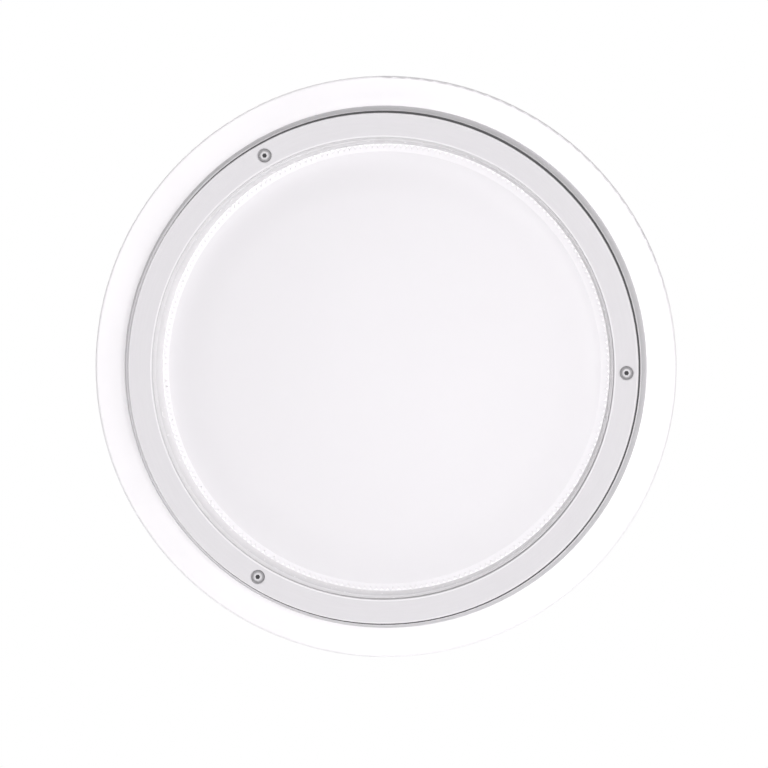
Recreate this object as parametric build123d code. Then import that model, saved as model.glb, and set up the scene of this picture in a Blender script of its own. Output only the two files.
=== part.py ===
from build123d import *

import math
import os

# A round flush light for a ceiling or a wall. Every piece is drawn on the light's own axis: heights run
# from the mounting face towards the room, x to the right and y up as seen from the room. At the end all
# pieces are turned so that the light shines along -Y and +Z is up. Sizes are millimetres and degrees.

# Base: a hollow moulded rim on a flat plate
base_radius = 175.0
base_depth = 18.0
rim_wall = 3.0
rim_edge_round = 1.5
rib_count = 12
rib_thickness = 2.0
plate_thickness = 3.0
plate_overlap = 12.0
boss_radius = 4.5

# Fixing holes, cable entries and seal in the plate
fixing_inset = 28.0
fixing_hole_radius = 2.75
fixing_count = 4
entry_hole_radius = 8.0
entry_recess_width = 2.5
entry_recess_depth = 1.2
cable_radius = 4.5
cable_entry_inset = 28.0
blank_entry_inset = 18.0
grommet_lip = 2.5
grommet_nose = 6.0
grommet_round = 1.0
wall_seal_inset = 12.0
wall_seal_width = 8.0
wall_seal_depth = 1.5

# Drum: a cast wall with a foot that is screwed to the rim
drum_margin = 17.8
drum_taper = 3.2
drum_height = 28.0
drum_wall = 3.0
drum_foot_thickness = 4.0
drum_foot_width = 25.0
drum_lip_width = 6.0
drum_lip_thickness = 3.0
drum_edge_round = 0.5
drum_seal_width = 3.0
drum_seal_depth = 2.0
drum_seal_inset = 3.0
drum_screw_inset = 16.0
post_web_thickness = 5.0

# Cover: trim ring with its reveal, gaskets, clamp ring and screws
ring_setback = 1.8
ring_face_width = 14.4
ring_seat = 2.3
ring_edge_round = 1.0
reveal_taper = 3.4
reveal_depth = 19.0
reveal_wall = 2.5
reveal_foot_width = 5.0
reveal_foot_thickness = 2.0
reveal_edge_round = 0.6
gasket_thickness = 1.2
gasket_inset = 0.85
cover_screw_count = 3
cover_screw_pitch = 0.7
cover_screw_turns = 11
clamp_thickness = 2.0
clamp_screw_count = 6
clamp_screw_length = 8.0
clamp_boss_radius = 3.6

# Diffuser: an opal dome with a flat land, an upright skirt and a flange, and a seal with a lip
skirt_gap = 1.0
skirt_height = 8.0
diffuser_wall = 2.5
flange_thickness = 2.5
land_width = 5.2
land_round = 1.0
crown_radius = 700.0
knuckle_radius = 90.0
knuckle_width = 27.0
diffuser_gasket_thickness = 1.0
seal_lip_setback = 1.2
seal_lip_gap = 0.55
seal_lip_width = 0.9
seal_lip_round = 0.3
seal_lip_foot = 0.8

# Socket screw with a button head, and its sealing washer
button_radius = 3.8
button_height = 2.2
button_flat_radius = 2.5
button_rim_height = 0.5
button_round = 0.6
hex_key = 2.5
hex_depth = 1.3
washer_thickness = 0.8
washer_overhang = 0.1
counterbore_gap = 0.5

# Screws with pan heads, and the threaded inserts that take the larger ones
m4_radius = 2.0
m4_head_radius = 3.9
m4_head_height = 2.6
m3_radius = 1.5
m3_head_radius = 2.75
m3_head_height = 2.0
head_rounding = 0.8
slot_width = 0.8
slot_depth = 0.9
insert_grip = 6.0
insert_wall = 0.75
insert_length = 8.0
plate_screw_length = 12.0
plate_screw_head_radius = 3.6
plate_tap_depth = 2.2

# Gear tray and LED board
tray_thickness = 1.5
tray_ledge_width = 13.5
tray_upstand = 6.0
tray_screw_inset = 7.0
tray_screw_count = 3
board_thickness = 1.6
board_gap = 1.9
led_counts = (26, 18, 10)
led_edge = 10.0
led_ring_spacing = 26.0
led_size = 3.0
led_height = 0.8
board_screw_count = 4
board_screw_tip = 0.9
connector_length = 9.0
connector_width = 8.0
connector_height = 5.0
connector_round = 0.8
bush_inset = 9.0
bush_hole_radius = 5.0
bush_bore_radius = 3.4
bush_lip = 1.2

# Driver
driver_length = 112.0
driver_width = 36.0
driver_headroom = 2.5
driver_wall = 1.6
driver_corner = 3.0
driver_y = -34.0
driver_ear_length = 9.0
driver_ear_width = 16.0
driver_ear_thickness = 2.0
driver_lid_thickness = 1.5
circuit_height = 2.5
circuit_thickness = 1.6
circuit_post_radius = 2.0
coil_size = 18.0
part_headroom = 0.5
capacitor_length = 14.0

# Terminal block
terminal_length = 28.0
terminal_width = 20.0
terminal_headroom = 3.0
terminal_round = 1.5
terminal_y = 32.0
pole_spacing = 12.0
pole_screw_spread = 11.0
pole_screw_radius = 1.9
pole_well_depth = 3.0
terminal_hole_height = 5.5
terminal_head_depth = 4.0

# Leads
lead_radius = 1.0
lead_insertion = 4.0
lead_height = 7.5
lead_gap = 4.4
lead_pair_gap = 3.2
lead_level_step = 3.6
lead_run_out = 17.0
lead_drop = 14.0
lead_spacing = 6.0
lead_upper_height = 6.0
bend_share = 0.45

# Clearances
running_clearance = 0.05
fit_clearance = 0.1
screw_clearance = 0.25
flange_clearance = 0.3
cover_clearance = 1.0
post_clearance = 1.2
rib_clearance = 1.0
tray_clearance = 3.7
hole_end_clearance = 2.0
cut_margin = 1.0

# Heights that follow from the sizes above
rim_front = base_depth
rim_inside = base_depth - rim_wall
plate_front = plate_thickness
rib_low = plate_front + rib_clearance
insert_low = rim_front - insert_length
foot_front = rim_front + drum_foot_thickness
drum_front = rim_front + drum_height
lip_back = drum_front - drum_lip_thickness
ring_back = drum_front + gasket_thickness
washer_back = ring_back + ring_seat
washer_front = washer_back + washer_thickness
ring_front = washer_front + button_height
reveal_end = ring_front - reveal_depth
flange_front = reveal_end - diffuser_gasket_thickness
flange_back = flange_front - flange_thickness
land_front = flange_front + skirt_height
clamp_back = flange_back - clamp_thickness
tray_front = rim_front + tray_thickness
board_front = tray_front + board_thickness
driver_top = rim_front - driver_headroom
driver_case_top = driver_top - driver_lid_thickness
driver_floor = plate_front + driver_wall
circuit_back = driver_floor + circuit_height
circuit_front = circuit_back + circuit_thickness
terminal_top = rim_front - terminal_headroom
terminal_hole = plate_front + terminal_hole_height
ear_front = plate_front + driver_ear_thickness

# Radii that follow from the sizes above
drum_foot_radius = base_radius - drum_margin
drum_front_radius = drum_foot_radius - drum_taper
drum_foot_inner_radius = drum_foot_radius - drum_foot_width
drum_lip_inner_radius = drum_front_radius - drum_lip_width
drum_seal_outer_radius = drum_foot_radius - drum_seal_inset
drum_seal_inner_radius = drum_seal_outer_radius - drum_seal_width
tray_radius = drum_foot_inner_radius - tray_clearance
pan_radius = tray_radius - tray_ledge_width
pan_wall_radius = pan_radius + rim_wall
plate_radius = pan_wall_radius + plate_overlap
entry_recess_radius = entry_hole_radius + entry_recess_width
wall_seal_outer_radius = pan_wall_radius - wall_seal_inset
wall_seal_inner_radius = wall_seal_outer_radius - wall_seal_width
cable_entry_y = wall_seal_inner_radius - cable_entry_inset
blank_entry_y = blank_entry_inset - wall_seal_inner_radius
ring_radius = drum_front_radius - ring_setback
reveal_front_radius = ring_radius - ring_face_width
reveal_back_radius = reveal_front_radius - reveal_taper
reveal_foot_radius = reveal_back_radius + reveal_foot_width
gasket_radius = drum_front_radius - gasket_inset
skirt_radius = reveal_back_radius - skirt_gap
skirt_inner_radius = skirt_radius - diffuser_wall
dome_radius = skirt_radius - land_width
clamp_radius = drum_lip_inner_radius - cover_clearance
counterbore_radius = button_radius + counterbore_gap
m4_bore = m4_radius + running_clearance
m3_bore = m3_radius + running_clearance
m4_hole = m4_radius + screw_clearance
m3_hole = m3_radius + screw_clearance
insert_radius = m4_bore + insert_wall
bush_x = pan_radius - bush_inset
bush_neck_radius = bush_hole_radius - fit_clearance
board_radius = bush_x - bush_neck_radius - bush_lip - board_gap
led_radius = board_radius - led_edge
connector_x = led_radius - led_ring_spacing / 2

# The cover screws leave their posts after the stated number of turns
cover_screw_travel = cover_screw_turns * cover_screw_pitch
cover_screw_length = cover_screw_travel + gasket_thickness + ring_seat + washer_thickness


def ring_of_points(radius, count, start):
    """Points evenly spread on a circle round the light's axis, counter-clockwise from a direction."""
    angles = [math.radians(start + 360 / count * i) for i in range(count)]
    return [(radius * math.cos(a), radius * math.sin(a)) for a in angles]


# Where the repeated features stand
cover_screw_step = 360 / cover_screw_count
cover_screw_angles = [cover_screw_step * i for i in range(cover_screw_count)]
cover_screw_circle_radius = ring_radius - ring_face_width / 2
cover_screw_points = ring_of_points(cover_screw_circle_radius, cover_screw_count, 0)
drum_screw_circle_radius = drum_foot_radius - drum_screw_inset
drum_screw_points = ring_of_points(drum_screw_circle_radius, cover_screw_count, cover_screw_step / 2)
clamp_screw_circle_radius = reveal_foot_radius + flange_clearance + clamp_boss_radius
clamp_screw_points = ring_of_points(clamp_screw_circle_radius, clamp_screw_count, 180 / clamp_screw_count)
tray_screw_points = ring_of_points(tray_radius - tray_screw_inset, tray_screw_count, cover_screw_step / 4)
plate_screw_circle_radius = plate_radius - plate_overlap / 2
plate_screw_start = cover_screw_step * 3 / 4
plate_screw_points = ring_of_points(plate_screw_circle_radius, tray_screw_count, plate_screw_start)
insert_points = tray_screw_points + drum_screw_points
fixing_points = ring_of_points(pan_wall_radius - fixing_inset, fixing_count, 180 / fixing_count)
board_screw_circle_radius = led_radius - led_ring_spacing * 3 / 2
board_screw_points = ring_of_points(board_screw_circle_radius, board_screw_count, 180 / board_screw_count)
driver_screw_x = driver_length / 2 + driver_ear_length / 2
driver_screw_points = [(-driver_screw_x, driver_y), (driver_screw_x, driver_y)]
rib_angles = [360 / rib_count * (i + 0.5) for i in range(rib_count)]
entry_points = [(0, cable_entry_y), (0, blank_entry_y)]


def turned(corners):
    """Solid of revolution from its (radius, height, rounding) corners."""
    points = [(r, h) for r, h, _ in corners]
    outline = FilletPolyline(*points, radius=[rounding for _, _, rounding in corners], close=True)
    return revolve(Plane.XZ * make_face(outline), Axis.Z)


def rod(radius, low, high, point=(0, 0)):
    """Upright cylinder between two heights."""
    return Pos(point[0], point[1], low) * extrude(Circle(radius), high - low)


def rods(radius, low, high, points):
    return [rod(radius, low, high, p) for p in points]


def tube(inner, outer, low, high, point=(0, 0)):
    """Upright ring between two heights."""
    return rod(outer, low, high, point) - rod(inner, low, high, point)


def block(length, width, low, high, point=(0, 0)):
    """Upright box between two heights."""
    return Pos(point[0], point[1], low) * extrude(Rectangle(length, width), high - low)


def rounded_block(length, width, corner, low, high, point=(0, 0)):
    """Upright box with rounded upright edges."""
    return Pos(point[0], point[1], low) * extrude(RectangleRounded(length, width, corner), high - low)


def pan_screw(point, seat, length, radius, head_radius, head_height):
    """Slotted pan-head screw whose head lies in front of its seat."""
    top = seat + head_height
    head = rod(head_radius, seat, top, point)
    head = fillet(head.edges().group_by(Axis.Z)[-1], head_rounding)
    slot = block(2 * head_radius + cut_margin, slot_width, top - slot_depth, top + cut_margin, point)
    return head + rod(radius, seat - length, seat, point) - slot


def m4_screw(point, seat, length):
    return pan_screw(point, seat, length, m4_radius, m4_head_radius, m4_head_height)


def m3_screw(point, seat, length):
    return pan_screw(point, seat, length, m3_radius, m3_head_radius, m3_head_height)


# Base


def base_rim():
    """Hollow white rim: outer wall, front face and pan wall, with ribs and bosses at its back."""
    outer_wall = base_radius - rim_wall
    rim = turned([
        (outer_wall, 0, 0),
        (base_radius, 0, 0),
        (base_radius, rim_front, rim_edge_round),
        (pan_radius, rim_front, 0),
        (pan_radius, plate_front, 0),
        (pan_wall_radius, plate_front, 0),
        (pan_wall_radius, rim_inside, 0),
        (outer_wall, rim_inside, 0),
    ])
    rib_start = pan_radius + rim_wall / 2
    rib_length = outer_wall + rim_wall / 2 - rib_start
    rib = block(rib_length, rib_thickness, rib_low, rim_inside, (rib_start + rib_length / 2, 0))
    rim += [Rot(0, 0, angle) * rib for angle in rib_angles]
    rim += rods(boss_radius, plate_front, rim_inside, tray_screw_points + plate_screw_points)
    rim += rods(boss_radius, rib_low, rim_inside, drum_screw_points)
    rim -= rods(insert_radius + running_clearance, insert_low, rim_front, insert_points)
    rim -= rods(m4_bore, insert_low - hole_end_clearance, insert_low, insert_points)
    rim -= rods(m3_bore, plate_front, plate_screw_length + hole_end_clearance / 2, plate_screw_points)
    return rim


def countersunk_head(clearance):
    """Cone of a countersunk head whose flat side lies in the mounting face."""
    depth = plate_screw_head_radius - m3_radius
    wide = plate_screw_head_radius + clearance
    return turned([(0, 0, 0), (wide, 0, 0), (wide - depth, depth, 0), (0, depth, 0)])


def back_plate():
    """Flat plate with its fixing holes, cable entries and the tapped holes for what it carries."""
    plate = rod(plate_radius, 0, plate_front)
    plate -= rods(fixing_hole_radius, 0, plate_front, fixing_points)
    plate -= rods(entry_hole_radius, 0, plate_front, entry_points)
    plate -= rods(entry_recess_radius, 0, entry_recess_depth, entry_points)
    plate -= tube(wall_seal_inner_radius, wall_seal_outer_radius, 0, wall_seal_depth)
    tapped_points = driver_screw_points + [(0, terminal_y)]
    plate -= rods(m3_bore, plate_front - plate_tap_depth, plate_front, tapped_points)
    plate -= rods(m3_hole, 0, plate_front, plate_screw_points)
    plate -= [Pos(x, y) * countersunk_head(screw_clearance) for x, y in plate_screw_points]
    return plate


def plate_screws():
    """Countersunk screws from the back, which join the plate to the rim."""
    screw = rod(m3_radius, 0, plate_screw_length) + countersunk_head(0)
    screw -= block(2 * plate_screw_head_radius + cut_margin, slot_width, 0, slot_depth)
    return [Pos(x, y) * screw for x, y in plate_screw_points]


def wall_seal():
    """Foam ring that fills the groove in the plate's back."""
    inner = wall_seal_inner_radius + fit_clearance
    return tube(inner, wall_seal_outer_radius - fit_clearance, 0, wall_seal_depth)


def entry_seal():
    """Rubber body that grips the plate's edge in a cable entry."""
    lip_radius = entry_recess_radius - fit_clearance
    neck_radius = entry_hole_radius - fit_clearance
    nose_radius = cable_radius + grommet_lip
    lip_front = plate_front + grommet_lip
    nose_front = lip_front + grommet_nose
    return turned([
        (0, fit_clearance, 0),
        (lip_radius, fit_clearance, 0),
        (lip_radius, entry_recess_depth, 0),
        (neck_radius, entry_recess_depth, 0),
        (neck_radius, plate_front, 0),
        (lip_radius, plate_front, 0),
        (lip_radius, lip_front, grommet_round),
        (nose_radius, lip_front, 0),
        (nose_radius, nose_front, grommet_round),
        (0, nose_front, 0),
    ])


def cable_grommet():
    """Open entry seal, with a bore for the supply cable."""
    nose_front = plate_front + grommet_lip + grommet_nose
    return Pos(0, cable_entry_y) * (entry_seal() - rod(cable_radius, 0, nose_front))


def blanking_plug():
    """Closed entry seal in the second cable entry."""
    return Pos(0, blank_entry_y) * entry_seal()


def threaded_inserts():
    """Brass inserts in the rim's bosses, for the tray screws and the drum screws."""
    return [tube(m4_bore, insert_radius, insert_low, rim_front, p) for p in insert_points]


# Drum


def drum_inside(height):
    """Inner radius of the drum's sloping wall at a height."""
    return drum_foot_radius - drum_taper * (height - rim_front) / drum_height - drum_wall


def drum():
    """Cast wall with an inward foot and lip, and a threaded post behind each cover screw."""
    body = turned([
        (drum_foot_inner_radius, rim_front, 0),
        (drum_foot_radius, rim_front, 0),
        (drum_front_radius, drum_front, drum_edge_round),
        (drum_lip_inner_radius, drum_front, 0),
        (drum_lip_inner_radius, lip_back, 0),
        (drum_inside(lip_back), lip_back, 0),
        (drum_inside(foot_front), foot_front, 0),
        (drum_foot_inner_radius, foot_front, 0),
    ])
    body += rods(boss_radius, foot_front, drum_front, cover_screw_points)
    web_length = drum_inside(lip_back) + drum_wall / 2 - cover_screw_circle_radius
    web_middle = cover_screw_circle_radius + web_length / 2
    web = block(web_length, post_web_thickness, foot_front, lip_back, (web_middle, 0))
    body += [Rot(0, 0, angle) * web for angle in cover_screw_angles]
    hole_end = drum_front - cover_screw_travel - hole_end_clearance
    body -= rods(m4_bore, hole_end, drum_front, cover_screw_points)
    body -= rods(m4_hole, rim_front, foot_front, drum_screw_points)
    return body - tube(drum_seal_inner_radius, drum_seal_outer_radius, rim_front, rim_front + drum_seal_depth)


def drum_seal():
    """Flat ring in the groove under the drum's foot."""
    inner = drum_seal_inner_radius + fit_clearance
    return tube(inner, drum_seal_outer_radius - fit_clearance, rim_front, rim_front + drum_seal_depth)


def drum_screws():
    return [m4_screw(p, foot_front, drum_foot_thickness + insert_grip) for p in drum_screw_points]


# Cover


def reveal_inside(height):
    """Radius of the sloping reveal at a height."""
    return reveal_back_radius + reveal_taper * (height - reveal_end) / reveal_depth


def trim_ring():
    """Front ring with a conical reveal, pads for the cover screws and bosses for the clamp screws."""
    foot_front_height = reveal_end + reveal_foot_thickness
    ring = turned([
        (reveal_back_radius, reveal_end, 0),
        (reveal_front_radius, ring_front, reveal_edge_round),
        (ring_radius, ring_front, ring_edge_round),
        (ring_radius, ring_back, 0),
        (reveal_inside(ring_back) + reveal_wall, ring_back, 0),
        (reveal_inside(foot_front_height) + reveal_wall, foot_front_height, 0),
        (reveal_foot_radius, foot_front_height, 0),
        (reveal_foot_radius, reveal_end, 0),
    ])
    ring += rods(boss_radius, drum_front, ring_back, cover_screw_points)
    ring += rods(clamp_boss_radius, flange_back, ring_back, clamp_screw_points)
    ring -= rods(m4_hole, drum_front, washer_back, cover_screw_points)
    ring -= rods(counterbore_radius, washer_back, ring_front, cover_screw_points)
    clamp_hole_end = clamp_back + clamp_screw_length + hole_end_clearance
    return ring - rods(m3_bore, flange_back, clamp_hole_end, clamp_screw_points)


def rim_gasket():
    """Black rubber ring between the drum and the trim ring, which shows as a dark line."""
    gasket = tube(drum_lip_inner_radius, gasket_radius, drum_front, ring_back)
    return gasket - rods(boss_radius + fit_clearance, drum_front, ring_back, cover_screw_points)


def dome_arcs(depth):
    """Crown and knuckle arcs of the dome, at a depth below its outer surface."""
    lean = math.asin((dome_radius - knuckle_width) / crown_radius)
    knuckle_centre = (crown_radius - knuckle_radius) * math.sin(lean)
    edge_lean = math.asin((dome_radius - knuckle_centre) / knuckle_radius)
    knuckle_height = land_front - knuckle_radius * math.cos(edge_lean)
    crown_height = knuckle_height - (crown_radius - knuckle_radius) * math.cos(lean)
    lean, edge_lean = math.degrees(lean), math.degrees(edge_lean)
    crown = CenterArc((0, crown_height), crown_radius - depth, 90 - lean, lean)
    centre = (knuckle_centre, knuckle_height)
    knuckle = CenterArc(centre, knuckle_radius - depth, 90 - edge_lean, edge_lean - lean)
    return crown, knuckle


def diffuser():
    """Opal dome with a flat land round it, a skirt and a clamping flange."""
    crown, knuckle = dome_arcs(0)
    inner_crown, inner_knuckle = dome_arcs(diffuser_wall)
    corner = CenterArc((skirt_radius - land_round, land_front - land_round), land_round, 0, 90)
    land = Line(knuckle @ 0, corner @ 1)
    skirt = Polyline(
        corner @ 0,
        (skirt_radius, flange_front),
        (reveal_foot_radius, flange_front),
        (reveal_foot_radius, flange_back),
        (skirt_inner_radius, flange_back),
        (skirt_inner_radius, land_front - diffuser_wall),
        inner_knuckle @ 0,
    )
    axis_line = Line(crown @ 1, inner_crown @ 1)
    face = make_face([crown, knuckle, land, corner, skirt, inner_knuckle, inner_crown, axis_line])
    return revolve(Plane.XZ * face, Axis.Z)


def diffuser_gasket():
    """Seal between the diffuser's flange and the reveal's end, with a lip that lines the reveal."""
    lip_front = ring_front - seal_lip_setback
    lip_radius = reveal_inside(lip_front) - seal_lip_gap
    return turned([
        (skirt_radius + fit_clearance, flange_front, 0),
        (reveal_foot_radius, flange_front, 0),
        (reveal_foot_radius, reveal_end, 0),
        (reveal_back_radius - fit_clearance, reveal_end, 0),
        (lip_radius, lip_front, seal_lip_round),
        (lip_radius - seal_lip_width, lip_front, seal_lip_round),
        (skirt_radius + fit_clearance, land_front - seal_lip_foot, 0),
    ])


def clamp_ring():
    """Ring that holds the diffuser's flange from behind, notched where the drum's posts pass."""
    ring = tube(skirt_inner_radius, clamp_radius, clamp_back, flange_back)
    half_width = boss_radius + post_clearance
    reach = clamp_radius + cut_margin - cover_screw_circle_radius
    notch = rod(half_width, clamp_back, flange_back, (cover_screw_circle_radius, 0))
    way_out = (cover_screw_circle_radius + reach / 2, 0)
    notch += block(reach, 2 * half_width, clamp_back, flange_back, way_out)
    ring -= [Rot(0, 0, angle) * notch for angle in cover_screw_angles]
    return ring - rods(m3_hole, clamp_back, flange_back, clamp_screw_points)


def clamp_screws():
    """Pan-head screws that enter the trim ring's bosses from behind."""
    screw = Rot(180, 0, 0) * m3_screw((0, 0), 0, clamp_screw_length)
    return [Pos(x, y, clamp_back) * screw for x, y in clamp_screw_points]


def cover_screw(point):
    """Button-head socket screw, flush with the trim ring's face."""
    head = turned([
        (0, washer_front, 0),
        (button_radius, washer_front, 0),
        (button_radius, washer_front + button_rim_height, 0),
        (button_flat_radius, ring_front, button_round),
        (0, ring_front, 0),
    ])
    socket = extrude(RegularPolygon(hex_key / 2, 6, major_radius=False), hex_depth)
    screw = head + rod(m4_radius, washer_front - cover_screw_length, washer_front)
    return Pos(*point) * (screw - Pos(0, 0, ring_front - hex_depth) * socket)


def screw_washer(point):
    """Sealing washer under a cover screw's head."""
    return tube(m4_bore, button_radius + washer_overhang, washer_back, washer_front, point)


# Gear tray and LED board


def gear_tray():
    """White sheet-metal tray with an upstand, which closes the pan and carries the LED board."""
    tray = rod(tray_radius, rim_front, tray_front)
    tray += tube(tray_radius - tray_thickness, tray_radius, tray_front, tray_front + tray_upstand)
    tray -= rods(m4_hole, rim_front, tray_front, tray_screw_points)
    tray -= rods(m3_bore, rim_front, tray_front, board_screw_points)
    return tray - rod(bush_hole_radius, rim_front, tray_front, (bush_x, 0))


def tray_screws():
    return [m4_screw(p, tray_front, tray_thickness + insert_grip) for p in tray_screw_points]


def lead_bush():
    """Rubber bush that keeps the LED leads off the tray's edge."""
    back, front = rim_front - bush_lip, tray_front + bush_lip
    body = rod(bush_neck_radius + bush_lip, back, front, (bush_x, 0))
    body -= tube(bush_neck_radius, bush_neck_radius + 2 * bush_lip, rim_front, tray_front, (bush_x, 0))
    return body - rod(bush_bore_radius, back, front, (bush_x, 0))


def led_board():
    """Round board on the tray."""
    board = rod(board_radius, tray_front, board_front)
    return board - rods(m3_hole, tray_front, board_front, board_screw_points)


def led_chips():
    """Square LED packages in rings, with none in the way of the leads."""
    chip = block(led_size, led_size, board_front, board_front + led_height)
    chips = []
    for ring, count in enumerate(led_counts):
        radius = led_radius - led_ring_spacing * ring
        chips += [Rot(0, 0, 360 / count * (i + 0.5)) * Pos(radius, 0) * chip for i in range(count)]
    return chips


def led_board_screws():
    length = board_thickness + tray_thickness + board_screw_tip
    return [m3_screw(p, board_front, length) for p in board_screw_points]


def led_connector():
    """Connector block on the LED board, which takes the two LED leads."""
    top = board_front + connector_height
    size = (connector_length, connector_width, connector_round)
    return rounded_block(*size, board_front, top, (connector_x, 0))


# Driver


def driver_case():
    """Open box with an ear at each end and four posts under its circuit board."""
    middle = (0, driver_y)
    case = rounded_block(driver_length, driver_width, driver_corner, plate_front, driver_case_top, middle)
    inside = (driver_length - 2 * driver_wall, driver_width - 2 * driver_wall)
    case -= block(*inside, driver_floor, driver_case_top, middle)
    ear = block(driver_ear_length, driver_ear_width, plate_front, ear_front)
    case += [Pos(x, y) * ear for x, y in driver_screw_points]
    case -= rods(m3_hole, plate_front, ear_front, driver_screw_points)
    post_x = inside[0] / 2 - 2 * circuit_post_radius
    post_y = inside[1] / 2 - 2 * circuit_post_radius
    posts = [(sx * post_x, driver_y + sy * post_y) for sx in (-1, 1) for sy in (-1, 1)]
    return case + rods(circuit_post_radius, driver_floor, circuit_back, posts)


def driver_lid():
    """Flat lid on the driver's case."""
    size = (driver_length, driver_width, driver_corner)
    return rounded_block(*size, driver_case_top, driver_top, (0, driver_y))


def driver_circuit():
    """Circuit board on the case's posts."""
    play = 2 * (driver_wall + fit_clearance)
    return block(driver_length - play, driver_width - play, circuit_back, circuit_front, (0, driver_y))


def driver_coil():
    """Transformer in the middle of the circuit board."""
    return block(coil_size, coil_size, circuit_front, driver_case_top - part_headroom, (0, driver_y))


def driver_capacitors():
    """Two round capacitors that lie on the circuit board, one on each side of the coil."""
    radius = (driver_case_top - part_headroom - circuit_front) / 2
    can = Rot(0, 90, 0) * Cylinder(radius, capacitor_length)
    x = coil_size / 2 + capacitor_length
    return [Pos(side * x, driver_y, circuit_front + radius) * can for side in (-1, 1)]


def driver_screws():
    length = driver_ear_thickness + plate_tap_depth
    return [m3_screw(p, ear_front, length) for p in driver_screw_points]


# Terminal block


def pole_points():
    """Centres of the clamping screws: two for each pole."""
    x, y = pole_spacing / 2, pole_screw_spread / 2
    return [(sx * x, terminal_y + sy * y) for sx in (-1, 1) for sy in (-1, 1)]


def terminal_block():
    """Two-pole block with a wire hole along each pole and a well over each clamping screw."""
    middle = (0, terminal_y)
    body = rounded_block(terminal_length, terminal_width, terminal_round, plate_front, terminal_top, middle)
    wire_hole = Rot(90, 0, 0) * Cylinder(lead_radius + screw_clearance, terminal_width)
    body -= [Pos(side * pole_spacing / 2, terminal_y, terminal_hole) * wire_hole for side in (-1, 1)]
    body -= rods(pole_screw_radius + running_clearance, terminal_hole, terminal_top, pole_points())
    head_hole = m3_head_radius + screw_clearance
    body -= rod(head_hole, terminal_top - terminal_head_depth, terminal_top, middle)
    return body - rod(m3_hole, plate_front, terminal_top, middle)


def terminal_screws():
    """Slotted clamping screws in their wells, above the wires."""
    top = terminal_top - pole_well_depth
    low = terminal_hole + lead_radius + fit_clearance
    slot = block(2 * pole_screw_radius + cut_margin, slot_width, top - slot_depth, top)
    return [rod(pole_screw_radius, low, top, p) - Pos(*p) * slot for p in pole_points()]


def terminal_fixing_screw():
    """Screw through the middle of the block into the plate."""
    seat = terminal_top - terminal_head_depth
    return m3_screw((0, terminal_y), seat, seat - plate_front + plate_tap_depth)


# Leads


def lead(points):
    """Round wire through a route's points, with each bend as wide as its runs allow."""
    places = [Vector(*p) for p in points]
    radii = []
    for before, corner, after in zip(places, places[1:], places[2:]):
        half_turn = math.radians((corner - before).get_angle(after - corner)) / 2
        shorter = min((corner - before).length, (after - corner).length)
        radii.append(bend_share * shorter / math.tan(half_turn))
    path = FilletPolyline(*places, radius=radii)
    return sweep(Plane(origin=path @ 0, z_dir=path % 0) * Circle(lead_radius), path=path)


def mains_lead(pole, run_out, drop):
    """Wire from one pole of the terminal block to the left end of the driver."""
    x = pole * pole_spacing / 2
    end_y = driver_y + pole * lead_gap
    end_height = plate_front + lead_height
    terminal_end = terminal_y - terminal_width / 2
    bend_x = -driver_length / 2 - run_out
    bend_y = terminal_end - drop
    return lead([
        (x, terminal_end + lead_insertion, terminal_hole),
        (x, bend_y, terminal_hole),
        (bend_x, bend_y, (terminal_hole + end_height) / 2),
        (bend_x, end_y, end_height),
        (-driver_length / 2, end_y, end_height),
    ])


def led_lead(side, height):
    """Wire from the right end of the driver, up through the bush and across to the connector."""
    start_y = driver_y - side * lead_gap
    bush_y = side * lead_pair_gap / 2
    over = tray_front + lead_upper_height
    return lead([
        (driver_length / 2, start_y, height),
        (bush_x, start_y, height),
        (bush_x, bush_y, height),
        (bush_x, bush_y, over),
        (connector_x + connector_length / 2, bush_y, over),
    ])


def pieces():
    """Every node's name with its solid or its group of solids."""
    nodes = {
        "base_rim": base_rim(),
        "back_plate": back_plate(),
        "plate_screws": plate_screws(),
        "wall_seal": wall_seal(),
        "cable_grommet": cable_grommet(),
        "blanking_plug": blanking_plug(),
        "threaded_inserts": threaded_inserts(),
        "drum": drum(),
        "drum_seal": drum_seal(),
        "drum_screws": drum_screws(),
        "gear_tray": gear_tray(),
        "tray_screws": tray_screws(),
        "lead_bush": lead_bush(),
        "led_board": led_board(),
        "led_chips": led_chips(),
        "led_board_screws": led_board_screws(),
        "led_connector": led_connector(),
        "driver_case": driver_case(),
        "driver_lid": driver_lid(),
        "driver_circuit": driver_circuit(),
        "driver_coil": driver_coil(),
        "driver_capacitors": driver_capacitors(),
        "driver_screws": driver_screws(),
        "terminal_block": terminal_block(),
        "terminal_screws": terminal_screws(),
        "terminal_fixing_screw": terminal_fixing_screw(),
        "live_lead": mains_lead(-1, lead_run_out + lead_spacing, lead_drop),
        "neutral_lead": mains_lead(1, lead_run_out, lead_drop + lead_spacing),
        "positive_lead": led_lead(-1, plate_front + lead_height),
        "negative_lead": led_lead(1, plate_front + lead_height - lead_level_step),
        "trim_ring": trim_ring(),
        "rim_gasket": rim_gasket(),
        "diffuser": diffuser(),
        "diffuser_gasket": diffuser_gasket(),
        "clamp_ring": clamp_ring(),
        "clamp_screws": clamp_screws(),
    }
    for number, point in enumerate(cover_screw_points, start=1):
        nodes[f"cover_screw_{number}"] = cover_screw(point)
        nodes[f"screw_washer_{number}"] = screw_washer(point)
    return nodes


os.makedirs("parts", exist_ok=True)
upright = Rot(90, 0, 0)
for name, shape in pieces().items():
    group = shape if isinstance(shape, list) else [shape]
    solids = [solid for piece in group for solid in (upright * piece).solids()]
    export_step(Compound(children=solids), f"parts/{name}.step")
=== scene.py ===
import math

import bmesh
import bpy
from bpy.props import FloatProperty, FloatVectorProperty, IntProperty, PointerProperty
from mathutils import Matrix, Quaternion, Vector


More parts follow.
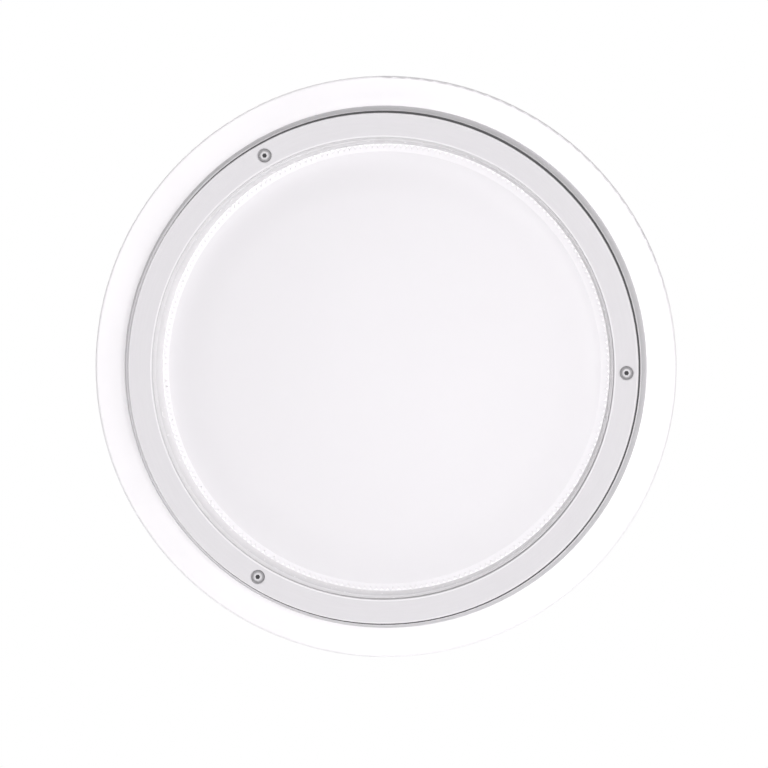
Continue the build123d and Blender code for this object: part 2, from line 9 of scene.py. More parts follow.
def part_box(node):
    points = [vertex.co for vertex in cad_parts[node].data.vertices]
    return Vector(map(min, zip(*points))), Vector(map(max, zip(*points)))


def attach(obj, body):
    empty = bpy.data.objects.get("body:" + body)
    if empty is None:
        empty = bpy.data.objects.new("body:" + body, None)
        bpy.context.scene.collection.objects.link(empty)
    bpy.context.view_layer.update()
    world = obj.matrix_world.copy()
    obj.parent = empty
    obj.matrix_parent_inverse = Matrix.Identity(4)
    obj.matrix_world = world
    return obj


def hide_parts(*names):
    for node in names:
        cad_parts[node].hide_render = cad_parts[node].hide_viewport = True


# Dresses a round flush light: an opal dome deep in a grey trim ring, a grey drum and a low white
# base. All lengths are metres in the model's own frame: the light shines along -Y and +Z is up.

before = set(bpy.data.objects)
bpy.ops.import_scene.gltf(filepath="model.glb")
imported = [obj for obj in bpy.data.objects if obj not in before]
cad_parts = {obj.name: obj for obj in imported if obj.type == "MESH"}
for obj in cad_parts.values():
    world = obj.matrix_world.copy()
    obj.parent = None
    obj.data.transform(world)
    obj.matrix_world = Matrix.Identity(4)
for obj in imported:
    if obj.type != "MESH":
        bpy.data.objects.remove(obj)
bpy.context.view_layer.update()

bl_info = {
    "name": "Flush porch light",
    "version": (1, 0, 0),
    "blender": (4, 5, 0),
    "location": "3D View > Sidebar > Porch light",
    "description": "Models the dome of a flush light and its seal, and finishes every surface",
    "category": "Object",
}

# How finely the meshes are divided, and where their edges are sharp.
SIDES_PER_FLUTE = 8
LAND_ROUND_STEPS = 5
DOME_STEPS = 14
SEAL_SIDES = 512
LIP_ROUND_STEPS = 4
SLOPE_STEPS = 12
FLOOR_SIDES = 96
SAME_POINT = 1e-6
SHARP_EDGE = math.radians(22)

# Rows across the dome's flat land: share of its width, and by how much its sides are thinned there.
LAND_ROWS = ((0.6, 2), (0.8, 4))
# Share of the flutes' depth that is left at the skirt's foot.
FLUTE_FOOT = 0.6

# How narrow the uneven places of the seal and the rim gasket are.
LIP_GAP_SHARPNESS = 6
GASKET_BULGE_SHARPNESS = 6
GASKET_TUCK_SHARPNESS = 12

# Inset of the middle of the highlight painted along the ring's edges, from the ring's edge, in
# widths of that line.
EDGE_HIGHLIGHT_INSET = 0.55

# The cover screws' sockets, where shade is painted: least depth under the head's front, radius and
# the colour of the painted shade.
SOCKET_DEPTH = 0.0001
SOCKET_RADIUS = 0.0015
SOCKET_SHADE_COLOUR = (0.03, 0.03, 0.032)

# Usual swing of a noise pattern, and the swing of roughness in a fine grain.
NOISE_LOW = 0.3
NOISE_HIGH = 0.7
GRAIN_SWING = 0.05


def depth_of(node):
    """Distances of a node's back and front from the mounting face."""
    low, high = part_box(node)
    return -high.y, -low.y


def radius_of(node):
    """Largest radius of a node that is round about the light's axis."""
    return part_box(node)[1].x


def length(name, description, default):
    """Property for a size in metres."""
    return FloatProperty(
        name=name, description=description, default=default, min=0, unit="LENGTH", precision=5
    )


def offset(name, description, default):
    """Property for a distance in metres that may go either way."""
    return FloatProperty(name=name, description=description, default=default, unit="LENGTH")


def angle(name, description, degrees):
    """Property for an angle."""
    return FloatProperty(
        name=name, description=description, default=math.radians(degrees), subtype="ANGLE"
    )


def level(name, description, default):
    """Property for a plain factor."""
    return FloatProperty(name=name, description=description, default=default, min=0)


def colour(name, description, default):
    """Property for a colour."""
    return FloatVectorProperty(
        name=name, description=description, default=default, size=3, min=0, max=1, subtype="COLOR"
    )


class PorchLightSizes(bpy.types.PropertyGroup):
    """Sizes of the pieces that are modelled here. Directions go from +X towards +Z."""

    skirt_inset: length("Skirt inset", "How far the skirt stands inside the dome's flange", 0.006)
    skirt_height: length("Skirt height", "Height of the flat land above the flange", 0.008)
    land_width: length("Land width", "Width of the flat land round the dome", 0.0042)
    land_round: length("Land rounding", "Rounding between the land and the skirt", 0.0005)
    wall: length("Dome wall", "Thickness of the dome", 0.0025)
    crown_radius: length("Crown radius", "Radius of the dome's middle", 0.725)
    knuckle_radius: length("Knuckle radius", "Radius of the dome's edge", 0.09)
    knuckle_width: length("Knuckle width", "Width of the dome's more curved edge", 0.027)
    dome_shift: length("Dome shift", "How far the dome sits off the axis", 0.0006)
    skirt_shift: length("Skirt shift", "How far the land's outer edge sits off the axis", 0.0013)
    shift_towards: angle("Shift towards", "Direction in which the dome and skirt are off", 20)
    flute_depth: length("Flute depth", "Depth of the flutes round the dome's skirt", 0.0016)
    flute_count: IntProperty(
        name="Flutes", description="Flutes round the dome's skirt", default=244, min=3
    )
    face_width: length("Face width", "Width of the ring's flat face", 0.0144)
    # The ring's edges get a highlight painted as a bright line of this width.
    edge_highlight_width: length("Edge line", "Width of the bright line along the ring's edges", 0.0009)
    lip_inset: length("Lip inset", "How far the lip stands inside the ring's outer edge", 0.01517)
    lip_width: length("Lip width", "Mean width of the seal's lip", 0.0015)
    lip_share: level("Lip share", "Share of the skirt's shift at the lip's inner side", 0.3)
    lip_round: length("Lip rounding", "Rounding of the lip's outer edge", 0.0003)
    lip_drop: length("Lip drop", "How far the lip's top falls towards the dome", 0.0022)
    lip_foot: length("Lip foot", "How far the foot of the slope lies below the land", 0.001)
    lip_bow: level("Lip bow", "Hollow of the slope to the lip, from 0 for straight to 1", 0.3)
    lip_gap: length("Lip gap", "Clearance between the ring and a lip that doesn't lean", 0.00055)
    lip_least_gap: length("Least lip gap", "Clearance where the lip leans on the ring", 0.00003)
    lip_most_gap: length("Most lip gap", "Clearance where the lip leans away from it", 0.0006)
    lip_gap_towards: angle("Lip gap towards", "Direction of the widest clearance", 304)
    seal_flat: length("Seal flat", "Thickness of the seal on the dome's flange", 0.001)
    seal_gap: length("Seal gap", "Clearance between the flutes' tips and the slope", 0.0002)
    seal_neck_inset: length("Seal neck inset", "Inset of the seal's neck from its flange", 0.0051)
    gasket_tuck: length("Gasket tuck", "Most that the rim gasket's edge is drawn in", 0.00105)
    gasket_tuck_towards: angle("Gasket tucked towards", "Direction of that place", 182)
    gasket_bulge: length("Gasket bulge", "Most that the rim gasket's edge swells out", 0.0005)
    gasket_bulge_towards: angle("Gasket bulges towards", "Direction of that place", 70)


class PorchLightFinishes(bpy.types.PropertyGroup):
    """Colours of the finishes that show outside."""

    ring: colour("Ring", "Satin finish of the trim ring", (0.71, 0.71, 0.716))
    # Colour of the highlight painted along the ring's edges.
    ring_edge_highlight: colour("Ring edge", "Bright line along the ring's edges", (0.84, 0.84, 0.845))
    drum: colour("Drum", "Satin paint of the drum", (0.69, 0.69, 0.697))
    base: colour("Base", "White moulding of the base", (0.96, 0.96, 0.962))
    opal: colour("Opal", "Opal plastic of the dome", (0.81, 0.81, 0.816))
    seal: colour("Seal", "Pale silicone of the dome's seal", (0.93, 0.93, 0.932))
    rubber: colour("Rubber", "Dark rubber of the rim gasket", (0.05, 0.05, 0.052))
    steel: colour("Steel", "Dull steel of the cover screws", (0.52, 0.52, 0.525))


class PorchLightStage(bpy.types.PropertyGroup):
    """Camera, lamps and floor."""

    azimuth: angle("Azimuth", "Camera's turn to the right", 2.55)
    elevation: angle("Elevation", "Camera's height", 1.85)
    roll: angle("Roll", "Camera's roll", 0.96)
    lens: FloatProperty(
        name="Lens", description="Focal length on a 36 mm sensor", default=250, min=10
    )
    distance: length("Distance", "Camera's distance from the ring's front", 3.174)
    aim_right: offset("Aim right", "How far the camera aims right of the light's axis", 0.0008)
    aim_down: offset("Aim down", "How far the camera aims below the light's axis", 0.0091)
    floor_drop: length("Floor drop", "Height of the light's axis above the floor", 1.2)
    floor_radius: length("Floor radius", "Radius of the floor", 4.0)
    floor_glow: level("Floor glow", "Level of the floor's own light", 0.2)
    ambient: level("Ambient", "Strength of the light from all round", 0.15)
    key: level("Key lamp", "Level of the light from in front", 0.545)
    side: level("Side lamp", "Level of the light from the upper right", 0.28)
    back: level("Back lamp", "Level of the light on the back", 0.35)
    tint: colour("Tint", "Colour of all the light", (1.0, 0.972, 1.0))


# Materials


def math_node(tree, operation, first, second=None):
    """Math node on sockets or plain numbers."""
    made = tree.nodes.new("ShaderNodeMath")
    made.operation = operation
    for socket, value in zip(made.inputs, (first, second)):
        if isinstance(value, bpy.types.NodeSocket):
            tree.links.new(value, socket)
        elif value is not None:
            socket.default_value = value
    return made.outputs[0]


class Finish:
    """A material under construction, with short calls for the nodes that finishes share."""

    def __init__(self, name):
        self.material = bpy.data.materials.new(name)
        self.material.use_nodes = True
        self.tree = self.material.node_tree
        self.shader = self.tree.nodes["Principled BSDF"]

    def node(self, kind, **values):
        made = self.tree.nodes.new(kind)
        for name, value in values.items():
            made.inputs[name.replace("_", " ")].default_value = value
        return made

    def link(self, source, target):
        self.tree.links.new(source, target)

    def set(self, **values):
        """Sets even values on the shader's own sockets."""
        for name, value in values.items():
            self.shader.inputs[name.replace("_", " ")].default_value = value

    def noise(self, scale, detail=3.0, stretch=(1, 1, 1)):
        """Noise in object coordinates, with a scale in grains per metre."""
        place = self.node("ShaderNodeMapping", Scale=stretch)
        self.link(self.node("ShaderNodeTexCoord").outputs["Object"], place.inputs["Vector"])
        return self.noise_at(place.outputs["Vector"], scale, detail)

    def noise_at(self, place, scale, detail):
        grains = self.node("ShaderNodeTexNoise", Scale=scale, Detail=detail)
        self.link(place, grains.inputs["Vector"])
        return grains.outputs["Fac"]

    def across(self, centre):
        """Place across an axis along Y that goes through a point."""
        flat = self.node(
            "ShaderNodeMapping", Location=(-centre[0], 0, -centre[2]), Scale=(1, 0, 1)
        )
        self.link(self.node("ShaderNodeTexCoord").outputs["Object"], flat.inputs["Vector"])
        return flat.outputs["Vector"]

    def vector_math(self, operation, vector):
        made = self.node("ShaderNodeVectorMath")
        made.operation = operation
        self.link(vector, made.inputs[0])
        return made.outputs

    def math(self, operation, first, second=None):
        return math_node(self.tree, operation, first, second)

    def turned_noise(self, rings, spokes, centre=(0, 0, 0)):
        """Noise drawn out round an axis: rings per metre of radius, and patches round a turn."""
        flat = self.across(centre)
        parts = self.node("ShaderNodeSeparateXYZ")
        self.link(self.vector_math("NORMALIZE", flat)["Vector"], parts.inputs[0])
        place = self.node("ShaderNodeCombineXYZ")
        radius = self.vector_math("LENGTH", flat)["Value"]
        self.link(self.math("MULTIPLY", radius, rings), place.inputs["Y"])
        for axis in "XZ":
            self.link(self.math("MULTIPLY", parts.outputs[axis], spokes), place.inputs[axis])
        return self.noise_at(place.outputs["Vector"], scale=1.0, detail=3.0)

    def socket_shade_mask(self, centre, front):
        """Mask of a screw's socket, where shade is painted: behind the head's front, and close to
        its axis.
        """
        parts = self.node("ShaderNodeSeparateXYZ")
        self.link(self.node("ShaderNodeTexCoord").outputs["Object"], parts.inputs[0])
        behind = self.math("GREATER_THAN", parts.outputs["Y"], front + SOCKET_DEPTH)
        radius = self.vector_math("LENGTH", self.across(centre))["Value"]
        near = self.math("LESS_THAN", radius, SOCKET_RADIUS)
        return self.math("MULTIPLY", behind, near)

    def near_radius(self, radius, reach):
        """Mask of a band on both sides of a radius about the light's axis, for a painted highlight.
        """
        place = self.vector_math("LENGTH", self.across((0, 0, 0)))["Value"]
        away = self.math("ABSOLUTE", self.math("SUBTRACT", place, radius))
        return self.math("LESS_THAN", away, reach)

    def cover(self, mask, colour):
        """Second colour over the base colour where a mask is 1."""
        target = self.shader.inputs["Base Color"]
        mix = self.node("ShaderNodeMix")
        mix.data_type = "RGBA"
        mix.inputs["B"].default_value = (*colour, 1)
        self.link(target.links[0].from_socket, mix.inputs["A"])
        self.link(mask, mix.inputs["Factor"])
        self.link(mix.outputs["Result"], target)

    def spread(self, pattern, low, high):
        """Pattern with its usual swing brought to a range."""
        scale = self.node(
            "ShaderNodeMapRange", From_Min=NOISE_LOW, From_Max=NOISE_HIGH, To_Min=low, To_Max=high
        )
        self.link(pattern, scale.inputs["Value"])
        return scale.outputs["Result"]

    def tint(self, pattern, colour, share):
        """Base colour that darkens and lightens with a pattern by a share."""
        mix = self.node("ShaderNodeMix")
        mix.data_type = "RGBA"
        mix.inputs["A"].default_value = (*[c * (1 - share) for c in colour], 1)
        mix.inputs["B"].default_value = (*[min(1, c * (1 + share)) for c in colour], 1)
        self.link(self.spread(pattern, 0, 1), mix.inputs["Factor"])
        self.link(mix.outputs["Result"], self.shader.inputs["Base Color"])

    def rough(self, pattern, low, high):
        self.link(self.spread(pattern, low, high), self.shader.inputs["Roughness"])

    def bump(self, pattern, distance):
        """Relief of a height in metres."""
        relief = self.node("ShaderNodeBump", Strength=1.0, Distance=distance)
        self.link(pattern, relief.inputs["Height"])
        self.link(relief.outputs["Normal"], self.shader.inputs["Normal"])


def turned_satin(name, colour, highlight_colour, edges, width):
    """Satin finish over faint turning marks, with a highlight painted as a bright line of a width
    at some radii.
    """
    finish = Finish(name)
    finish.set(IOR=1.45)
    marks = finish.turned_noise(rings=900, spokes=9)
    finish.tint(marks, colour, share=0.012)
    # Paints a highlight: a lighter colour in a band at each of these radii.
    for edge in edges:
        finish.cover(finish.near_radius(edge, reach=width / 2), highlight_colour)
    finish.rough(marks, low=0.6, high=0.68)
    finish.bump(finish.noise(scale=1100, detail=2.0), distance=0.00004)
    return finish.material


def painted_casting(name, colour):
    """Satin paint on cast metal: a fine orange peel over a faint cloudiness."""
    finish = Finish(name)
    clouds = finish.noise(scale=60)
    finish.tint(clouds, colour, share=0.015)
    finish.rough(clouds, low=0.4, high=0.5)
    finish.bump(finish.noise(scale=900, detail=2.0), distance=0.00006)
    return finish.material


def smooth_moulding(name, colour):
    """Smooth moulded plastic."""
    finish = Finish(name)
    finish.set(IOR=1.4)
    flow = finish.noise(scale=25)
    finish.tint(flow, colour, share=0.005)
    finish.rough(flow, low=0.38, high=0.48)
    finish.bump(finish.noise(scale=1400, detail=2.0), distance=0.00002)
    return finish.material


def opal_plastic(name, colour):
    """Opal plastic with a soft gloss."""
    finish = Finish(name)
    finish.set(IOR=1.45)
    flow = finish.noise(scale=12)
    finish.tint(flow, colour, share=0.004)
    finish.rough(flow, low=0.48, high=0.54)
    finish.bump(finish.noise(scale=18, detail=1.0), distance=0.00008)
    return finish.material


def silicone(name, colour):
    """Silicone that lets some light through."""
    finish = Finish(name)
    finish.set(Subsurface_Weight=0.7, Subsurface_Radius=(1, 1, 1), Subsurface_Scale=0.003)
    flow = finish.noise(scale=300)
    finish.tint(flow, colour, share=0.01)
    finish.rough(flow, low=0.2, high=0.28)
    finish.bump(flow, distance=0.00001)
    return finish.material


def turned_steel(name, colour, centre, front):
    """Dull steel with turning marks round a screw's axis, and painted shade in its socket."""
    finish = Finish(name)
    finish.set(Metallic=0.3)
    marks = finish.turned_noise(rings=6000, spokes=4, centre=centre)
    finish.tint(marks, colour, share=0.05)
    # Paints the shade in the socket's recess as a near-black colour.
    finish.cover(finish.socket_shade_mask(centre, front), SOCKET_SHADE_COLOUR)
    finish.rough(marks, low=0.56, high=0.64)
    finish.bump(marks, distance=0.000004)
    return finish.material


def brushed_sheet(name, colour, roughness):
    """Bare sheet metal brushed along X."""
    finish = Finish(name)
    finish.set(Metallic=1.0)
    lines = finish.noise(scale=1200, detail=4.0, stretch=(0.02, 1, 1))
    finish.tint(lines, colour, share=0.05)
    finish.rough(lines, low=roughness, high=roughness + 0.12)
    finish.bump(lines, distance=0.00001)
    return finish.material


def grained(name, colour, roughness, share=0.04, scale=700, relief=0.00002, metallic=0.0):
    """Plain finish with a fine grain: rubber, foam, nylon, small metal parts."""
    finish = Finish(name)
    finish.set(Metallic=metallic)
    grain = finish.noise(scale)
    finish.tint(grain, colour, share)
    finish.rough(grain, low=roughness - GRAIN_SWING, high=roughness + GRAIN_SWING)
    finish.bump(grain, distance=relief)
    return finish.material


def plated(name, colour, roughness, share):
    """Metal with the fine grain of plated or turned small parts."""
    return grained(name, colour, roughness, share, scale=1500, relief=0.00001, metallic=1.0)


def wear(material, *nodes):
    """Gives CAD nodes a material."""
    for name in nodes:
        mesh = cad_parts[name].data
        mesh.materials.clear()
        mesh.materials.append(material)


# Meshes


def lathe_point(radius, height, turn):
    """Point at a radius, a height above the mounting face and an angle from +X towards +Z."""
    return Vector((radius * math.cos(turn), -height, radius * math.sin(turn)))


def arc(centre, radius, start, end, steps):
    """Points of an arc in the (radius, height) plane, both ends included."""
    turns = [start + (end - start) * i / steps for i in range(steps + 1)]
    return [(centre[0] + radius * math.cos(a), centre[1] + radius * math.sin(a)) for a in turns]


def bowed(start, end, share, steps):
    """Points of a hollow slope, both ends included.

    A share of 1 bends it right into the corner below its start.
    """
    middle = [(a + b) / 2 for a, b in zip(start, end)]
    corner = (start[0], end[1])
    pull = [m + share * (c - m) for m, c in zip(middle, corner)]
    points = []
    for i in range(steps + 1):
        t = i / steps
        points.append(tuple(
            (1 - t) ** 2 * a + 2 * t * (1 - t) * p + t * t * b
            for a, p, b in zip(start, pull, end)
        ))
    return points


def lobe(turn, towards, sharpness):
    """Share that is 1 in one direction and falls smoothly to 0 on the other side."""
    return math.cos((turn - towards) / 2) ** sharpness


def lathe(mesh, rows, closed=False):
    """Skin turned from rows of (radius, height, sides, share), with the share as an attribute."""
    layer = mesh.verts.layers.float.get("share") or mesh.verts.layers.float.new("share")
    rings = []
    for radius, height, sides, share in rows:
        turns = [math.tau * i / sides for i in range(sides)]
        ring = [mesh.verts.new(lathe_point(radius, height, turn)) for turn in turns]
        for point in ring:
            point[layer] = share
        rings.append(ring)
    following = rings[1:] + rings[:1] if closed else rings[1:]
    for near, far in zip(rings, following):
        join_rings(mesh, near, far)
    return rings


def join_rings(mesh, near, far):
    """Skin between two rings, where one may have a whole number of times the other's points."""
    many, few = (near, far) if len(near) >= len(far) else (far, near)
    step = len(many) // len(few)
    for i, corner in enumerate(few):
        following = few[(i + 1) % len(few)]
        fan = [many[(i * step + k) % len(many)] for k in range(step + 1)]
        if step == 1:
            mesh.faces.new((corner, fan[0], fan[1], following))
            continue
        half = step // 2
        for k in range(step):
            mesh.faces.new((corner if k < half else following, fan[k], fan[k + 1]))
        mesh.faces.new((corner, fan[half], following))


def close_pole(mesh, ring, height):
    """Fan from a ring to a point on the axis."""
    pole = mesh.verts.new(lathe_point(0, height, 0))
    for i, corner in enumerate(ring):
        mesh.faces.new((corner, ring[(i + 1) % len(ring)], pole))


def piece_from(name, mesh):
    """Object at the origin from a finished bmesh, shaded smooth but for sharp edges."""
    bmesh.ops.recalc_face_normals(mesh, faces=mesh.faces)
    data = bpy.data.meshes.new(name)
    mesh.to_mesh(data)
    mesh.free()
    smooth(data)
    piece = bpy.data.objects.new(name, data)
    bpy.context.scene.collection.objects.link(piece)
    return piece


def smooth(data):
    data.shade_smooth()
    data.set_sharp_from_angle(angle=SHARP_EDGE)


# Geometry node trees


def new_tree(name, sockets):
    """Geometry tree with a geometry input, the named inputs and a geometry output."""
    tree = bpy.data.node_groups.new(name, "GeometryNodeTree")
    tree.is_modifier = True
    tree.interface.new_socket("Geometry", in_out="INPUT", socket_type="NodeSocketGeometry")
    for label, kind in sockets:
        tree.interface.new_socket(label, in_out="INPUT", socket_type=kind)
    tree.interface.new_socket("Geometry", in_out="OUTPUT", socket_type="NodeSocketGeometry")
    return tree, tree.nodes.new("NodeGroupInput"), tree.nodes.new("NodeGroupOutput")


def end_tree(tree, geometry, inputs, outputs):
    """Ends a tree in Realize Instances and Set Material."""
    realize = tree.nodes.new("GeometryNodeRealizeInstances")
    tree.links.new(geometry, realize.inputs[0])
    paint = tree.nodes.new("GeometryNodeSetMaterial")
    tree.links.new(realize.outputs[0], paint.inputs["Geometry"])
    tree.links.new(inputs.outputs["Material"], paint.inputs["Material"])
    tree.links.new(paint.outputs[0], outputs.inputs[0])


def flute_tree():
    """Presses flutes with round ribs between them into a lathe skin, by its share attribute."""
    tree, inputs, outputs = new_tree("Flutes", [
        ("Count", "NodeSocketInt"),
        ("Depth", "NodeSocketFloat"),
        ("Material", "NodeSocketMaterial"),
    ])
    place = tree.nodes.new("ShaderNodeSeparateXYZ")
    tree.links.new(tree.nodes.new("GeometryNodeInputPosition").outputs[0], place.inputs[0])
    turn = math_node(tree, "ARCTAN2", place.outputs["Z"], place.outputs["X"])
    # A rib is half a wave of the sine, so a flute is where the sine is 0.
    turns = math_node(tree, "MULTIPLY", turn, inputs.outputs["Count"])
    wave = math_node(tree, "SINE", math_node(tree, "MULTIPLY", turns, 0.5))
    valley = math_node(tree, "SUBTRACT", 1.0, math_node(tree, "ABSOLUTE", wave))
    share = tree.nodes.new("GeometryNodeInputNamedAttribute")
    share.data_type = "FLOAT"
    share.inputs["Name"].default_value = "share"
    depth = math_node(tree, "MULTIPLY", inputs.outputs["Depth"], share.outputs["Attribute"])
    inward = math_node(tree, "MULTIPLY", math_node(tree, "MULTIPLY", depth, valley), -1.0)
    outward = tree.nodes.new("ShaderNodeCombineXYZ")
    tree.links.new(math_node(tree, "COSINE", turn), outward.inputs["X"])
    tree.links.new(math_node(tree, "SINE", turn), outward.inputs["Z"])
    press = tree.nodes.new("ShaderNodeVectorMath")
    press.operation = "SCALE"
    tree.links.new(outward.outputs[0], press.inputs[0])
    tree.links.new(inward, press.inputs["Scale"])
    move = tree.nodes.new("GeometryNodeSetPosition")
    tree.links.new(inputs.outputs["Geometry"], move.inputs["Geometry"])
    tree.links.new(press.outputs[0], move.inputs["Offset"])
    end_tree(tree, move.outputs[0], inputs, outputs)
    return tree


def grow(piece, tree, material, **values):
    """Runs a tree on a piece and keeps the result as a plain mesh."""
    modifier = piece.modifiers.new(tree.name, "NODES")
    modifier.node_group = tree
    wanted = {"Material": material, **values}
    for socket in tree.interface.items_tree:
        if socket.in_out == "INPUT" and socket.name in wanted:
            modifier[socket.identifier] = wanted[socket.name]
    bpy.context.view_layer.update()
    depsgraph = bpy.context.evaluated_depsgraph_get()
    made = bpy.data.meshes.new_from_object(piece.evaluated_get(depsgraph), depsgraph=depsgraph)
    piece.modifiers.remove(modifier)
    piece.data = made
    made.name = piece.name
    smooth(made)


# Pieces


class PORCHLIGHT_OT_diffuser(bpy.types.Operator):
    """Model the opal dome with its flat land and fluted skirt"""

    bl_idname = "porch_light.diffuser"
    bl_label = "Opal dome"

    def execute(self, context):
        sizes = context.scene.porch_light_sizes
        flange_back = depth_of("diffuser")[0]
        flange_front = depth_of("diffuser_gasket")[0]
        flange = radius_of("diffuser")
        skirt = flange - sizes.skirt_inset
        land = flange_front + sizes.skirt_height
        dome = skirt - sizes.land_width
        # The crown's arc meets the knuckle's where both lean as much.
        apart = sizes.crown_radius - sizes.knuckle_radius
        lean = math.asin((dome - sizes.knuckle_width) / sizes.crown_radius)
        knuckle_x = apart * math.sin(lean)
        edge_lean = math.asin((dome - knuckle_x) / sizes.knuckle_radius)
        knuckle = (knuckle_x, land - sizes.knuckle_radius * math.cos(edge_lean))
        crown = (0, knuckle[1] - apart * math.cos(lean))
        top = crown[1] + sizes.crown_radius
        corner = (skirt - sizes.land_round, land - sizes.land_round)
        up = math.pi / 2
        few = sizes.flute_count
        many = few * SIDES_PER_FLUTE

        def dome_rows(depth):
            radius = sizes.knuckle_radius - depth
            edge = arc(knuckle, radius, up - edge_lean, up - lean, DOME_STEPS)
            middle = arc(crown, sizes.crown_radius - depth, up - lean, up, DOME_STEPS)
            return [(r, h, few, 0) for r, h in edge + middle[1:-1]]

        rounding = arc(corner, sizes.land_round, 0, up, LAND_ROUND_STEPS)
        outer = [(flange, flange_front, few, 0), (skirt, flange_front, many, FLUTE_FOOT)]
        outer += [(r, h, many, 1) for r, h in rounding]
        for share, thinned in LAND_ROWS:
            outer.append((skirt - share * sizes.land_width, land, many // thinned, 0))
        inner = [
            (flange, flange_back, few, 0),
            (skirt - sizes.wall, flange_back, few, 0),
            (skirt - sizes.wall, land - sizes.wall, few, 0),
        ]
        mesh = bmesh.new()
        outer_rings = lathe(mesh, outer + dome_rows(0))
        inner_rings = lathe(mesh, inner + dome_rows(sizes.wall))
        join_rings(mesh, outer_rings[0], inner_rings[0])
        close_pole(mesh, outer_rings[-1], top)
        close_pole(mesh, inner_rings[-1], top - sizes.wall)
        piece = piece_from("opal_dome", mesh)
        opal = opal_plastic("opal_plastic", context.scene.porch_light_finishes.opal)
        grow(piece, flute_tree(), opal, Count=sizes.flute_count, Depth=sizes.flute_depth)
        for point in piece.data.vertices:
            radius = math.hypot(point.co.x, point.co.z)
            on_skirt = radius > skirt - sizes.land_width / 2
            shift = sizes.skirt_shift if on_skirt else sizes.dome_shift
            if radius < (skirt + flange) / 2:
                point.co += lathe_point(shift, 0, sizes.shift_towards)
        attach(piece, "cover")
        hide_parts("diffuser")
        return {"FINISHED"}


class PORCHLIGHT_OT_seal(bpy.types.Operator):
    """Model the dome's pale seal, pressed into the flutes, whose soft lip leans in the ring"""

    bl_idname = "porch_light.seal"
    bl_label = "Dome seal"

    def execute(self, context):
        sizes = context.scene.porch_light_sizes
        back, front = depth_of("diffuser_gasket")
        flange = radius_of("diffuser_gasket")
        neck = back + sizes.seal_flat
        ledge = flange - sizes.skirt_inset + sizes.seal_gap
        bore = flange - sizes.skirt_inset - sizes.flute_depth
        lip = radius_of("trim_ring") - sizes.lip_inset
        inner = lip - sizes.lip_width
        foot = back + sizes.skirt_height - sizes.lip_foot
        soft = sizes.lip_round
        outside = [(flange, back), (flange, neck), (flange - sizes.seal_neck_inset, neck)]
        outside += arc((lip - soft, front - soft), soft, 0, math.pi / 2, LIP_ROUND_STEPS)
        top = (inner, front - sizes.lip_drop)
        slope = bowed(top, (ledge, foot), sizes.lip_bow, SLOPE_STEPS)
        rows = [(bore, back, SEAL_SIDES, 1)] + [(r, h, SEAL_SIDES, 0) for r, h in outside]
        for r, h in slope:
            share = 1 - (1 - sizes.lip_share) * (r - ledge) / (inner - ledge)
            rows.append((r, h, SEAL_SIDES, share))
        rows.append((bore, foot, SEAL_SIDES, 1))
        mesh = bmesh.new()
        lathe(mesh, rows, closed=True)
        shares = mesh.verts.layers.float["share"]
        for point in mesh.verts:
            turn = math.atan2(point.co.z, point.co.x)
            away = lobe(turn, sizes.lip_gap_towards, LIP_GAP_SHARPNESS)
            gap = sizes.lip_least_gap + (sizes.lip_most_gap - sizes.lip_least_gap) * away
            rise = (-point.co.y - foot) / (front - foot)
            point.co += lathe_point((sizes.lip_gap - gap) * max(0, rise), 0, turn)
            point.co += lathe_point(sizes.skirt_shift * point[shares], 0, sizes.shift_towards)
        piece = piece_from("seal_lip", mesh)
        pale = silicone("pale_silicone", context.scene.porch_light_finishes.seal)
        piece.data.materials.append(pale)
        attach(piece, "cover")
        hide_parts("diffuser_gasket")
        return {"FINISHED"}


class PORCHLIGHT_OT_rim_gasket(bpy.types.Operator):
    """Model the dark gasket behind the ring, whose edge is drawn in and swells out in places"""

    bl_idname = "porch_light.rim_gasket"
    bl_label = "Rim gasket"

    def execute(self, context):
        sizes = context.scene.porch_light_sizes
        edge = radius_of("rim_gasket") - sizes.gasket_tuck
        mesh = bmesh.new()
        mesh.from_mesh(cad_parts["rim_gasket"].data)
        bmesh.ops.remove_doubles(mesh, verts=mesh.verts, dist=SAME_POINT)
        for point in mesh.verts:
            if math.hypot(point.co.x, point.co.z) > edge:
                turn = math.atan2(point.co.z, point.co.x)
                bulge = lobe(turn, sizes.gasket_bulge_towards, GASKET_BULGE_SHARPNESS)
                tuck = lobe(turn, sizes.gasket_tuck_towards, GASKET_TUCK_SHARPNESS)
                outward = sizes.gasket_bulge * bulge - sizes.gasket_tuck * tuck
                point.co += lathe_point(outward, 0, turn)
        piece = piece_from("squeezed_gasket", mesh)
        rubber = grained("gasket_rubber", context.scene.porch_light_finishes.rubber, roughness=0.6)
        piece.data.materials.append(rubber)
        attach(piece, "cover")
        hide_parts("rim_gasket")
        return {"FINISHED"}


class PORCHLIGHT_OT_outside(bpy.types.Operator):
    """Finish the ring, the drum, the base, the cover screws and the rubber next to them"""

    bl_idname = "porch_light.outside"
    bl_label = "Ring, drum and base"

    def execute(self, context):
        finishes = context.scene.porch_light_finishes
        sizes = context.scene.porch_light_sizes
        # A highlight is painted as a lighter line near the ring's outer and inner edges.
        line = sizes.edge_highlight_width
        outer = radius_of("trim_ring") - line * EDGE_HIGHLIGHT_INSET
        inner = radius_of("trim_ring") - sizes.face_width + line * EDGE_HIGHLIGHT_INSET
        satin = turned_satin("ring_finish_painted_highlight", finishes.ring, finishes.ring_edge_highlight, (outer, inner), line)
        wear(satin, "trim_ring")
        wear(painted_casting("drum_paint", finishes.drum), "drum")
        wear(smooth_moulding("white_moulding", finishes.base), "base_rim")
        for screw in ("cover_screw_1", "cover_screw_2", "cover_screw_3"):
            low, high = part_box(screw)
            wear(turned_steel(screw + "_steel", finishes.steel, (low + high) / 2, low.y), screw)
        wear(grained("seal_rubber", finishes.rubber, roughness=0.6), "drum_seal", "lead_bush")
        wear(grained("washer_rubber", (0.2, 0.2, 0.2), roughness=0.6),
             "screw_washer_1", "screw_washer_2", "screw_washer_3")
        return {"FINISHED"}


